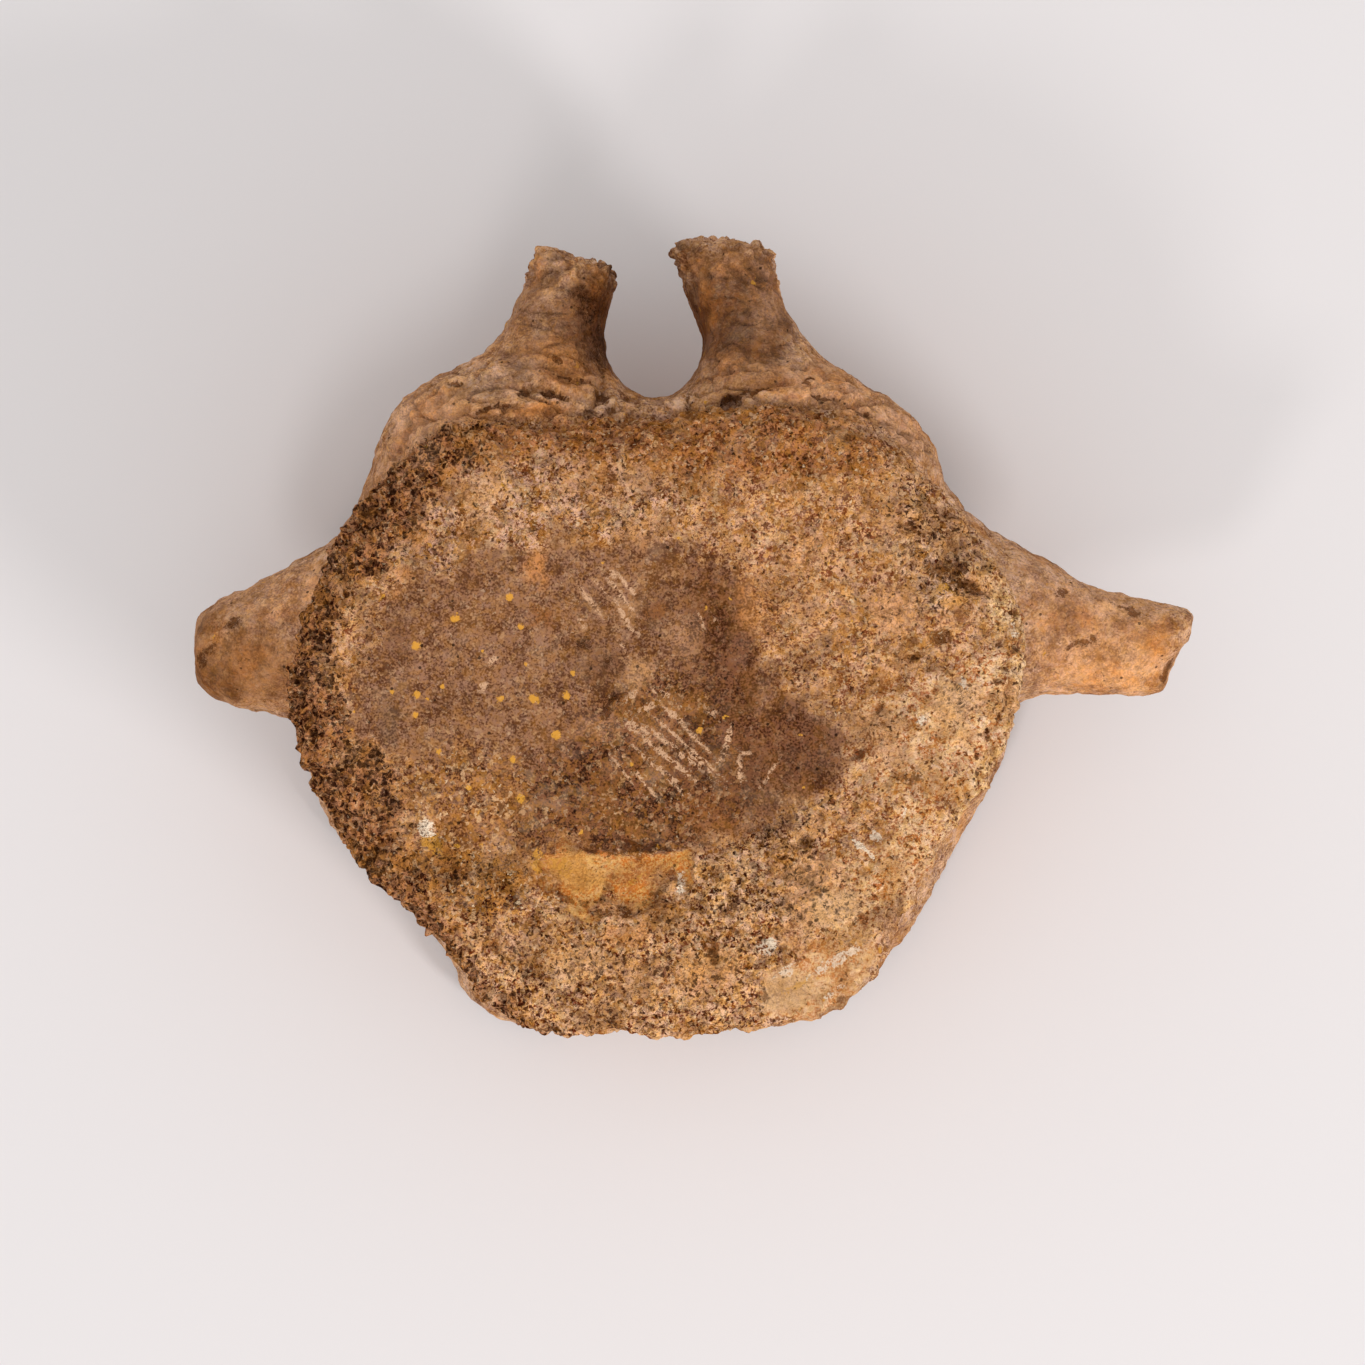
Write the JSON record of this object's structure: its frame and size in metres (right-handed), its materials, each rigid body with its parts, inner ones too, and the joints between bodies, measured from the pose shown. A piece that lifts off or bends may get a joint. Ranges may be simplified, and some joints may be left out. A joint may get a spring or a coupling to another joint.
{
  "type": "fossil dinosaur vertebra",
  "caption": "Worn fossil tail vertebra: a drum-shaped centrum lying on one joint face, with stubs of side processes and two broken pedicles round an open neural canal.",
  "frame": {"origin": "bottom middle of the outer box, on the plane the far joint face rests on", "axes": "+Z along the centrum, from the far joint face up to the near one; +Y towards the broken neural arch; +X towards the longer side process"},
  "size_m": [0.1044, 0.0844, 0.0475],
  "materials": {
    "fossil_bone": "matt brown mineralised bone, porous where the skin of the bone is worn off"
  },
  "bodies": {
    "root": {"vertebra": "fossil_bone"}
  },
  "joints": []
}
